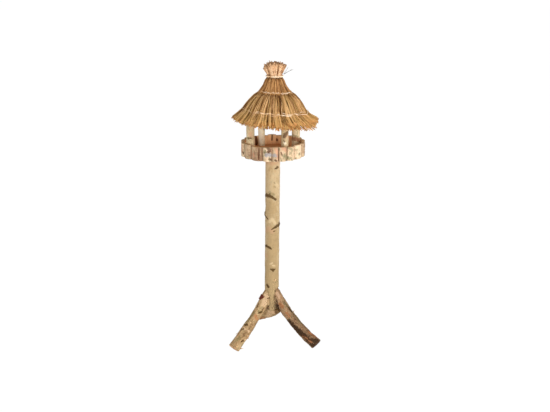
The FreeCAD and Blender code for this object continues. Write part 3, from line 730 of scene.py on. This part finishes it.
# The sawn faces inside the tray are pale, as sawn birch is, and lightened further as painted light
# against the shade inside the tray
sawn_stave = sawn_finish(
    "sawn_half_log", (255, 212, 160), (244, 190, 138), (190, 130, 88), stretch=(1, 1, 0.12)
)
sawn_top = sawn_finish("sawn_log_top", (226, 196, 152), (206, 170, 124), (156, 116, 76))
# How light each half log is against the rest, from the front groove anticlockwise
stave_tints = (-0.03, 0.02, 0.05, -0.04, -0.04, 0.0, 0.04, -0.05, 0.02,
               -0.02, 0.03, -0.04, 0.0, 0.01, -0.05, -0.05, 0.02, -0.02)
# How much wider each half log is made, so that it meets its neighbours
widening = 0.04
for number, tint in enumerate(stave_tints, 1):
    node = f"stave_{number:02d}"
    low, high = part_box(node)
    stave = copy_of(node, "half_log_" + node[-2:])
    corners = points_of(stave)
    centre = corners.mean(axis=0)
    azimuth = math.atan2(centre[1], centre[0])
    toward = np.array((math.cos(azimuth), math.sin(azimuth), 0))
    beside = np.array((-toward[1], toward[0], 0))
    move_to(stave, corners + widening * (corners @ beside)[:, None] * beside)
    foot = toward * fence_radius + (0, 0, low.z)
    head = toward * fence_radius + (0, 0, high.z)
    flats = [(foot, -toward, True), (head, (0, 0, 1), True), (foot, (0, 0, -1), True)]
    barked(
        stave, 0.0017, (foot, head, (0, 0, 0)), None, flats, stave_marks.get(number, []),
        relief=0.0013, sway=0.0012, shift=number * 1.7,
    )
    # Painted shade darkens the bark toward the grooves between half logs, but little on each side
    # of the front one
    aside = points_of(stave) @ beside
    edge = within(4 * abs(aside) / abs(aside).max() - 3) ** 1.5
    if number == 17:
        edge[aside > 0] *= 0.3
    if number == 18:
        edge[aside < 0] *= 0.3
    note(stave, "tint", tint - 0.3 * edge)
    dress(stave, stave_bark, sawn_stave, sawn_top)
    for face in stave.data.polygons:
        if face.material_index == 1 and abs(face.normal.z) > 0.9:
            face.material_index = 2
    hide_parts(node)
    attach(stave, "root")


# Tray floor. A round board of sawn birch, screwed down to the top of the trunk, with the half
# logs nailed to its edge. It is shown as it was packed.


def shown_as_packed(nodes, finish):
    """Gives nodes that are shown as they were packed their material."""
    for node in nodes:
        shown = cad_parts[node]
        shown.data.materials.clear()
        dress(shown, finish)


floor_wood = sawn_finish(
    "sawn_tray_floor", (240, 190, 140), (216, 160, 112), (164, 110, 74), stretch=(0.1, 1, 1)
)
shown_as_packed(["tray_floor"], floor_wood)


# Roof posts. Four short birch logs of different thickness, each screwed through the tray
# floor from below and through the roof board from above.

post_marks = {
    1: [
        ("moss", 9, 1, (-130, -55, 1127), (-115, -62, 1130), (-101, -58, 1124)),
        ("scar", 5, 0, (-124, -60, 1127), (-110, -62, 1127)),
        ("raw", 16, 0, (-114, -63, 1150), (-110, -62, 1136)),
    ],
    2: [
        ("scar", 9, 3, (-47, 91, 1141)),
        # Painted light: a pale streak down the front of this post lifts it out of the roof's shade
        ("pale", 26, 0, (-72, 90, 1200), (-70, 89, 1080)),
    ],
    3: [
        ("scar", 13, 3, (68, -121, 1168), (61, -124, 1158, 1.2), (55, -124, 1148)),
        ("scar", 5, 0, (52, -123, 1128), (57, -124, 1122)),
        ("raw", 12, 0, (72, -117, 1156), (70, -120, 1144)),
        ("pale", 9, 0, (54, -123, 1120), (60, -124, 1114)),
    ],
    4: [
        ("moss", 10, 0, (105, 12, 1125), (127, 11, 1119)),
        ("scar", 18, 0, (98, 20, 1107), (112, 9, 1108), (134, 16, 1104)),
    ],
}
post_bark, ruddy_bark = (
    bark_finish(
        name, 0.6, 0.7, 0.17, 0.0, (228, 208, 170), (206, 182, 142), (160, 134, 98),
        scar, (134, 122, 84), (196, 152, 118), (232, 218, 192),
    )
    for name, scar in (("birch_bark_post", (88, 58, 36)), ("birch_bark_ruddy", (124, 74, 44)))
)
# How light each post is against the rest. The second is much lighter, as painted light against the
# roof's shade at the back
post_tints = (0.0, 0.4, -0.05, 0.0)
for number, tint in enumerate(post_tints, 1):
    node = f"roof_post_{number}"
    low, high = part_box(node)
    radius = (high.x - low.x) / 2
    x, y = (high.x + low.x) / 2, (high.y + low.y) / 2
    foot, head = (x, y, low.z), (x, y, high.z)
    post = copy_of(node, f"birch_roof_post_{number}")
    flats = [(foot, (0, 0, -1), True), (head, (0, 0, 1), True)]
    barked(
        post, 0.0017, (foot, head, (0, 0, 0)), radius, flats, post_marks[number],
        relief=0.0008, sway=0.001, shift=number * 2.3,
    )
    note(post, "tint", np.full(len(post.data.vertices), tint))
    dress(post, ruddy_bark if number == 4 else post_bark, end_grain)
    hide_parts(node)
    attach(post, "root")


# Roof frame. A sawn board on the posts carries an upright peg and six sloping rafters, screwed
# and nailed together. It is shown as it was packed.

frame_wood = sawn_finish(
    "sawn_roof_frame", (206, 164, 116), (182, 138, 92), (132, 92, 58), stretch=(1, 1, 0.15)
)
shown_as_packed(["roof_board", "roof_peg", "rafters"], frame_wood)


# Thatch. Two courses of reeds hang from the peg in bundles, the upper one lapping the lower,
# and a tuft stands up through the neck tie. The reeds are cut by hand, so their ends are uneven.

# The roof's middle in x, and the heights of the neck's lower and upper ends
roof_x = 0.008
neck_low, neck_high = 1.418, 1.437

# One reed, a slightly flattened tube that later follows its own way down the roof
reed_levels, flatness = 7, 0.8
bpy.ops.object.select_all(action="DESELECT")
bpy.ops.mesh.primitive_cylinder_add(vertices=4, radius=1, depth=1, end_fill_type="NGON")
reed = bpy.context.object
bpy.ops.object.mode_set(mode="EDIT")
for level in range(1, reed_levels - 1):
    bpy.ops.mesh.select_all(action="SELECT")
    bpy.ops.mesh.bisect(plane_co=(0, 0, level / (reed_levels - 1) - 0.5), plane_no=(0, 0, 1))
bpy.ops.object.mode_set(mode="OBJECT")
reed_points = points_of(reed)
reed_faces = [tuple(face.vertices) for face in reed.data.polygons]
reed_level = np.rint((reed_points[:, 2] + 0.5) * (reed_levels - 1)).astype(int)
bpy.data.objects.remove(reed)


def lay_reeds(name, ways, sizes, notes):
    """One mesh of many reeds. Ways has the points that each reed passes, sizes its radius at
    each, and notes the numbers that its material reads at each."""
    count = len(ways)
    run = np.gradient(ways, axis=1)
    run /= np.linalg.norm(run, axis=2, keepdims=True) + 1e-12
    side = np.cross(run, (0.0, 0.0, 1.0))
    side /= np.linalg.norm(side, axis=2, keepdims=True) + 1e-9
    face = np.cross(side, run)
    thick = sizes[:, reed_level, None]
    points = ways[:, reed_level] + side[:, reed_level] * reed_points[:, :1] * thick
    points = points + face[:, reed_level] * (reed_points[:, 1:2] * flatness) * thick
    per = len(reed_points)
    faces = [tuple(v + i * per for v in f) for i in range(count) for f in reed_faces]
    mesh = bpy.data.meshes.new(name)
    mesh.from_pydata(points.reshape(-1, 3).tolist(), [], faces)
    piece = added(name, mesh)
    for key, values in notes.items():
        note(piece, key, np.broadcast_to(values, (count, reed_levels))[:, reed_level].ravel())
    bpy.ops.object.mode_set(mode="EDIT")
    bpy.ops.mesh.select_all(action="SELECT")
    bpy.ops.mesh.normals_make_consistent(inside=False)
    bpy.ops.object.mode_set(mode="OBJECT")
    bpy.ops.object.shade_smooth()
    return piece


def reed_finish(name, *tones, hollow=0.0, shade=0.0):
    """Dry reed: each stalk has its own tone, fine streaks and joints, and a stained cut end, with
    painted shade where the hollow of the stalk shows. Shade is painted shade that darkens it toward
    its head."""
    dark, middle, light, tip, green, gold = paints(tones)
    material, start = begin(name)
    tone, along, tint = (start.noted(name) for name in ("tone", "along", "tint"))
    place = start.node("TexCoord", out="Object")
    patches = place.grain(30, 3.0, (1, 1, 1), (2, 6, 3))
    streak = place.grain(700, 2.0, (1, 1, 0.15), (4, 1, 1))
    value = tone * 0.85 + patches * 0.2 + (streak - 0.5) * 0.2
    value = value + along.rise(0.0, 0.6) * shade - shade
    colour = value.ramp((0.2, dark), (0.5, middle), (0.82, light))
    colour = colour.over(gold, along.rise(0.6, 0.85) * (0.2 + tone * 0.45))
    colour = colour.over(green, tint.rise(0.7, 0.95) * 0.5)
    colour = colour.over(tip, along.rise(0.84, 1.0) * (1 - tint).rise(0.45, 0.85) * 0.5)
    colour = colour.over(dark, along.rise(0.96, 1.0) * hollow)
    joint = tone.node("Math", {"operation": "FRACT"}, {0: along * 3.0 + tint * 40.0})
    colour = colour.over(dark, joint.rise(0.94, 0.98) * 0.3)
    cover(start, colour, 0.5 + streak * 0.25, streak, 0.0003)
    return material


def course(rows):
    """The side of a course from its rows of radius and height, as a function of the share of
    the way down it."""
    rows = np.array(rows, float) / 1000
    steps = np.concatenate([[0], np.cumsum(np.linalg.norm(np.diff(rows, axis=0), axis=1))])
    return lambda t: np.stack([np.interp(t * steps[-1], steps, rows[:, k]) for k in (0, 1)], -1)


lower_outer = course([
    (78, 1353), (90, 1347), (104, 1337), (137.3, 1302.8), (157, 1273), (166, 1261), (190, 1243),
    (219, 1222),
])
lower_inner = course([
    (66, 1338), (97, 1318), (128, 1270), (141, 1240), (152, 1226), (168, 1207), (187, 1188),
])
upper_outer = course([(40, 1420), (50, 1406), (59.5, 1382), (83, 1350), (97, 1340)])
upper_inner = course([(32, 1420), (41, 1402), (51, 1378), (75, 1346), (91, 1334)])


# The azimuth at which the eave's hand-trimmed cut is highest
eave_high_way = math.radians(205)


def bundled_reeds(count, bundles, outer, inner, depth, starts, ends, shape):
    """Ways of reeds in one layer of a course. Each bundle is full where it is tied and narrower
    between, and its reeds lean a little. The shape says how much they lean, how much a bundle
    rounds off, how far the eave's cut leans and the course's middle shifts, and where reeds
    gather: in how many clumps, between which shares of the way down, and how strongly."""
    slack, crown, lean_cut, shift, gathers = shape
    bundle = draw.integers(0, bundles, count)
    across = draw.uniform(-1, 1, count)
    squeeze = draw.uniform(0.72, 1.0, (bundles, 3))
    lean = draw.normal(0, slack, count)
    centre = 2 * math.pi * (bundle + 0.5) / bundles - math.pi / 2
    shorter = 3.2 * lean_cut * within(-np.cos(centre)) ** 2
    ends = ends - shorter * (1 - depth)
    t = starts[:, None] + (ends - starts)[:, None] * np.linspace(0, 1, reed_levels)
    full = np.stack([
        np.interp(t[i], (0, 0.35, 0.62, 1.0), (1.0, squeeze[b, 0], 0.99, squeeze[b, 1]))
        for i, b in enumerate(bundle)
    ])
    half = math.pi / bundles
    angle = centre[:, None] + half * 0.97 * across[:, None] * full + lean[:, None] * (t - 0.3)
    inside = depth[:, None, None]
    last = outer(np.ones(1)) - outer(np.full(1, 0.97))
    beyond = within(t - 1)[..., None] * last / 0.03
    side = outer(within(t)) * (1 - inside) + inner(within(t)) * inside + beyond
    trimmed = lean_cut * np.cos(angle - eave_high_way) * within(4 * t - 3)
    side = side + trimmed[..., None] * inside * (-1.08, 1)
    hangs = within(np.cos(angle)) * np.interp(t, (0.48, 0.78, 1.0), (0.0, 0.7, 0.3))
    side = side - lean_cut * (hangs[..., None] * (1 - inside)) * (0.2, 1)
    drop = crown * np.abs(across[:, None] * np.minimum(full, 1)) ** 2.5
    for clumps, low, high, pull in gathers:
        place = angle * clumps / (2 * math.pi) + 0.3 * np.sin(9 * angle) + 0.2 * np.sin(23 * angle)
        off = place - np.floor(place) - 0.5
        hold = pull * within(5 * (t - low)) * within(8 * (high - t))
        uneven = 0.65 + 0.35 * np.sin(31 * angle) * np.sin(13 * angle)
        hold = hold * (1 - 0.6 * inside[..., 0]) * uneven
        angle = angle - off * hold * 2 * math.pi / clumps
        drop = drop + 0.010 * hold * (2 * abs(off)) ** 3
    radius = side[..., 0] - drop * 0.6
    height = side[..., 1] - drop * 0.8
    aside = roof_x - shift * within(1 - abs(t - 0.6) / 0.35)
    return np.stack([aside + radius * np.cos(angle), radius * np.sin(angle), height], axis=-1), t


# How many strands round a course have a tone of their own
strand_count = 211


def reed_layers(name, layers, bundles, outer, inner, shape, root, tip_size):
    """Lays all the layers of one course: each has its count, its depth and how much that
    varies, where it starts and ends along the course, and how uneven its ends are."""
    ways, sizes, tones, alongs, tints = [], [], [], [], []
    for count, depth, spread, begin_at, end_at, uneven in layers:
        deep = within(draw.normal(depth, spread, count))
        starts = np.clip(draw.normal(begin_at, 0.03, count), 0, 0.9)
        ends = draw.normal(end_at, uneven, count)
        stray = draw.uniform(0, 1, count) > 0.98
        ends = ends + 0.06 * stray
        way, t = bundled_reeds(count, bundles, outer, inner, deep, starts, ends, shape)
        ways.append(way)
        thick = draw.uniform(0.75, 1.25, count)[:, None]
        sizes.append((root + (tip_size - root) * within(t)) * thick)
        turned = np.arctan2(way[:, -1, 1], way[:, -1, 0] - roof_x)
        strand = np.floor(turned * 34).astype(int) % strand_count
        # Painted shade: a few strands at random are darker, to draw shaded grooves in the thatch,
        # and the deeper layers are darker
        groove = -0.34 * (draw.uniform(0, 1, strand_count) < 0.12)
        shade = draw.normal(0.54, 0.17, count)
        shade = shade + draw.normal(0, 0.17, strand_count)[strand] - 0.10 * deep + groove[strand]
        tones.append(within(shade)[:, None])
        alongs.append(t)
        tints.append(draw.uniform(0, 1, count)[:, None])
    ways, sizes, tones, alongs, tints = map(np.concatenate, (ways, sizes, tones, alongs, tints))
    return lay_reeds(name, ways, sizes, {"tone": tones, "along": alongs, "tint": tints})


def core_of(node, name, shrink, rim):
    """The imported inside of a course: its bundles, drawn in under the reeds that show, and
    further in beyond the rim."""
    core = copy_of(node, name)
    points = points_of(core) - normals_of(core) * shrink
    outer = np.hypot(points[:, 0] - roof_x, points[:, 1]) > rim
    points[outer] -= points[outer] * (0.06, 0.06, 0) - (0, 0, 0.008)
    if node == "thatch_lower":
        right = within((points[:, 0] - 0.08) / 0.08)
        points[:, 2] -= 0.007 * right * within(4 * normals_of(core)[:, 2])
    if node == "thatch_tuft":
        risen = np.clip((points[:, 2] - neck_high) / 0.03, 0, 2)[:, None]
        points = points - risen * (points - (roof_x, 0.0, 0.0)) * (0.10, 0.20, 0.004)
    move_to(core, points)
    return core


# Each reed's tones: dark, middle and light, then those of its tip, of green and of golden reeds
# The inside of the courses is painted darker than the reeds that show, as painted shade under them
core_straw = reed_finish(
    "reed_inside", (72, 42, 18), (110, 70, 34), (140, 96, 52),
    (96, 60, 32), (104, 84, 44), (140, 96, 50),
)
lower_reed = reed_finish(
    "reed_lower", (84, 46, 16), (182, 134, 82), (240, 196, 140),
    (190, 116, 62), (168, 142, 76), (216, 168, 98), shade=0.11,
)
upper_reed = reed_finish(
    "reed_upper", (90, 50, 22), (164, 114, 68), (216, 166, 110),
    (180, 128, 76), (150, 118, 64), (180, 130, 76),
)
tuft_reed = reed_finish(
    "reed_tuft", (128, 82, 48), (210, 164, 122), (244, 206, 166),
    (186, 134, 92), (204, 168, 122), (222, 178, 134), hollow=0.8,
)
# The tuft's inside is painted darker than its reeds, as painted shade
tuft_inside = reed_finish(
    "straw_inside", (120, 80, 48), (170, 124, 84), (200, 152, 108),
    (140, 98, 62), (160, 126, 84), (176, 130, 88),
)

draw = np.random.default_rng(11)
lower = reed_layers(
    "thatch_lower_reeds",
    [
        (800, 0.02, 0.03, 0.0, 1.0, 0.022),
        (520, 0.14, 0.04, 0.10, 1.0, 0.025),
        (420, 0.32, 0.05, 0.45, 1.0, 0.025),
        (400, 0.52, 0.05, 0.50, 1.0, 0.025),
        (380, 0.74, 0.05, 0.50, 1.0, 0.025),
        (420, 0.97, 0.03, 0.30, 1.0, 0.025),
    ],
    24, lower_outer, lower_inner,
    (0.075, 0.0045, 0.016, 0.004, [(46, 0.12, 0.66, 0.25), (68, 0.6, 1.5, 0.40)]),
    root=0.0012, tip_size=0.0019,
)
upper = reed_layers(
    "thatch_upper_reeds",
    [
        (460, 0.03, 0.04, 0.0, 0.88, 0.025),
        (320, 0.35, 0.08, 0.0, 0.87, 0.02),
        (240, 0.8, 0.1, 0.2, 0.86, 0.02),
    ],
    16, upper_outer, upper_inner, (0.06, 0.003, 0.0, 0.0, [(30, 0.0, 0.9, 0.3)]),
    root=0.0011, tip_size=0.0015,
)

# The tuft's reeds stand close at the neck and flare to a ragged dome
count = 760
share = draw.uniform(0.05, 1, count) ** 0.4
turn = draw.uniform(0, 2 * math.pi, count)
side_on = np.cos(turn) ** 2
base = 0.037 * share
flare = 0.022 * share ** 1.2 * (0.45 + 0.55 * side_on) * (1 - 0.1 * np.cos(turn))
lower_side = 0.024 * side_on * share ** 2.6 * (1 - 0.3 * np.cos(turn))
tip_height = neck_high + 0.048 + 0.004 * share - lower_side + draw.normal(0, 0.004, count)
step = np.linspace(0, 1, reed_levels)
height = (neck_low + 0.002) + (tip_height - neck_low)[:, None] * step
risen = np.clip((height - neck_high) / 0.034, -0.5, 2)
radius = base[:, None] + flare[:, None] * np.clip(risen, 0, 2)
twist = turn[:, None] + draw.normal(0, 0.06, count)[:, None] * step
ways = np.stack([roof_x + radius * np.cos(twist), radius * np.sin(twist), height], axis=-1)
tone = draw.normal(0.58, 0.15, count) + draw.normal(0, 0.24, 64)[np.floor(turn * 10).astype(int)]
sizes = np.full((count, reed_levels), 0.002) * draw.uniform(0.7, 1.3, count)[:, None]
tint = draw.uniform(0, 1, count)[:, None]
tuft = lay_reeds(
    "thatch_tuft_reeds", ways, sizes,
    {"tone": within(tone)[:, None], "along": step, "tint": tint},
)
# Each piece of thatch: its node, its finish and its inside's, its slot, how far its inside is
# drawn in, and the radius beyond which it is drawn in further
for piece, node, finish, inside, slot, shrink, rim in (
    (lower, "thatch_lower", lower_reed, core_straw, "reed", 0.007, 0.172),
    (upper, "thatch_upper", upper_reed, core_straw, "reed", 0.0065, 0.084),
    (tuft, "thatch_tuft", tuft_reed, tuft_inside, "straw", 0.007, 1.0),
):
    core = core_of(node, node + "_core", shrink, rim)
    dress(core, inside)
    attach(core, "root")
    dress(piece, finish)
    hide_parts(node)
    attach(piece, "root")


# Ties. Straw strands, twisted loosely and wound round the neck and each course. Their ends are
# tucked in or stick out a little.

tie_straw, start = begin("tie_straw")
place = start.node("TexCoord", out="Object")
streak = place.grain(500, 3.0, (1, 1, 1), (3, 3, 3))
worn = place.grain(34, 2.0, (1, 1, 1), (5, 1, 3))
tone = streak * 0.3 + worn * 0.7
dim, mid, bright = paints([(176, 130, 84), (230, 190, 142), (255, 234, 204)])
straw_colour = tone.ramp((0.34, dim), (0.45, mid), (0.56, bright))
cover(start, straw_colour, 0.5 + streak * 0.3, streak, 0.0004)


def strands_along(name, lines, radius, fineness):
    """Round strands that run smoothly along lines of points, made one mesh."""
    curve = bpy.data.curves.new(name, "CURVE")
    curve.dimensions = "3D"
    curve.bevel_depth = radius
    curve.bevel_resolution = 1
    for line in lines:
        spline = curve.splines.new("NURBS")
        spline.points.add(len(line) - 1)
        for point, place in zip(spline.points, line):
            point.co = (*place, 1)
        spline.order_u = 3
        spline.use_endpoint_u = True
        spline.resolution_u = fineness
    added(name, curve)
    bpy.ops.object.convert(target="MESH")
    return bpy.context.object


def wound_strands(name, node, strands, place_at, thickness, wave, spread):
    """Strands of a tie. Each has its first azimuth, how many turns it makes, and its rise above
    the tie's own line, about which it waves and twists."""
    lines = []
    for first, turns, rise in strands:
        steps = int(96 * turns) + 4
        angle = math.radians(first) + 2 * math.pi * turns * np.linspace(0, 1, steps)
        phase = draw.uniform(0, 6.28, 3)
        wander = wave * (np.sin(angle * 7 + phase[0]) + 0.8 * np.sin(angle * 17 + phase[1]))
        twist = angle * 26 + phase[2]
        height = rise + wander + spread * np.sin(twist)
        radius, level = place_at(height, spread * np.cos(twist), angle)
        line = [roof_x + radius * np.cos(angle), radius * np.sin(angle), level]
        lines.append(np.stack(line, axis=1))
    tie = strands_along(name, lines, thickness, 2)
    bpy.ops.object.shade_smooth()
    dress(tie, tie_straw)
    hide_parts(node)
    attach(tie, "root")


# How far the middle of a tie on a slope lies above the reeds
above_reeds = 0.0016


def on_slope(place, slope, bundles, dip, tilt, hang):
    """Where a strand lies on a course: it rests on the reeds, dips between the bundles and is
    tilted up to the left. By hang it sags on the right and rises a little on the left."""
    r, z = place
    run, fall = slope

    def place_at(height, out, angle):
        across = ((angle + math.pi / 2) * bundles / (2 * math.pi)) % 1 * 2 - 1
        sunk = dip * np.abs(across) ** 3
        height = height - tilt * np.cos(angle)
        lift = above_reeds + out - sunk
        sagging = hang * np.cos(angle) * np.where(np.cos(angle) > 0, 1.0, 0.4)
        return r - height * run + lift * fall, z + height * fall + lift * run - sagging

    return place_at


draw = np.random.default_rng(5)
neck_radius = 0.0425
wound_strands(
    "tie_neck_straw", "tie_neck",
    [(20, 1.02, 0.002), (140, 1.0, -0.001), (260, 1.05, 0.0005)],
    lambda height, out, angle: (neck_radius + out, 0.5 * (neck_low + neck_high) + height),
    thickness=0.0012, wave=0.0006, spread=0.0009,
)
wound_strands(
    "tie_upper_straw", "tie_upper",
    [(60, 1.05, 0.001), (200, 0.22, 0.003), (262, 0.07, 0.007), (282, 0.14, 0.001)],
    on_slope((0.0815, 1.3520), (0.81, 0.58), 16, dip=0.002, tilt=0.006, hang=0.0),
    thickness=0.0010, wave=0.0028, spread=0.0008,
)
wound_strands(
    "tie_lower_straw", "tie_lower",
    [(60, 1.05, 0.001), (236, 0.12, 0.004), (284, 0.14, 0.010), (262, 0.12, -0.004)],
    on_slope((0.1655, 1.2620), (0.72, 0.69), 24, dip=0.0015, tilt=0.008, hang=0.0065),
    thickness=0.0012, wave=0.0036, spread=0.0010,
)


# Neck wire. Stiff thin wire bound in at the neck, whose end comes out to the right and stands
# free, in three strands that part a little.


def metal_finish(name, scale, shift, stops, gloss, swing, depth, metallic):
    """Dull metal, mottled between the tones of its stops. The gloss swings about that much."""
    material, start = begin(name)
    dull = start.node("TexCoord", out="Object").grain(scale, 3.0, (1, 1, 1), shift)
    colour = dull.ramp(*((share, paint(*tone)) for share, tone in stops))
    cover(start, colour, gloss + dull * swing, dull, depth, Metallic=metallic)
    return material


wire_metal = metal_finish(
    "grey_wire", 400, (1, 1, 1), [(0.3, (96, 92, 86)), (0.7, (150, 148, 144))], 0.35, 0.3,
    0.0001, 0.7,
)
# In millimetres, from the neck outwards
wire_lines = np.array([
    [(54, -1, 1436), (66, -4, 1444), (80, -6, 1452), (93.5, -9, 1462)],
    [(53, 1, 1437), (61, -1, 1448), (68, -4, 1459), (74.5, -6, 1471)],
    [(54, -2, 1438), (68, -4, 1447), (86, -8, 1455), (100, -10, 1460)],
])
wire = strands_along("neck_wire_strands", wire_lines / 1000, 0.0008, 6)
dress(wire, wire_metal)
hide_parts("neck_wire")
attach(wire, "root")


# Screws and nails. Plain steel, browned by weather. They hold the legs, the tray and the roof
# together, and are shown as they were packed.

screw_metal = metal_finish(
    "weathered_steel", 300, (6, 2, 1),
    [(0.3, (104, 76, 52)), (0.6, (136, 108, 80)), (0.75, (110, 74, 48))], 0.4, 0.4, 0.0002, 0.3,
)
shown_as_packed(
    ["leg_screws", "tray_screws", "stave_nails", "roof_post_screws", "roof_peg_screw",
     "rafter_nails"],
    screw_metal,
)
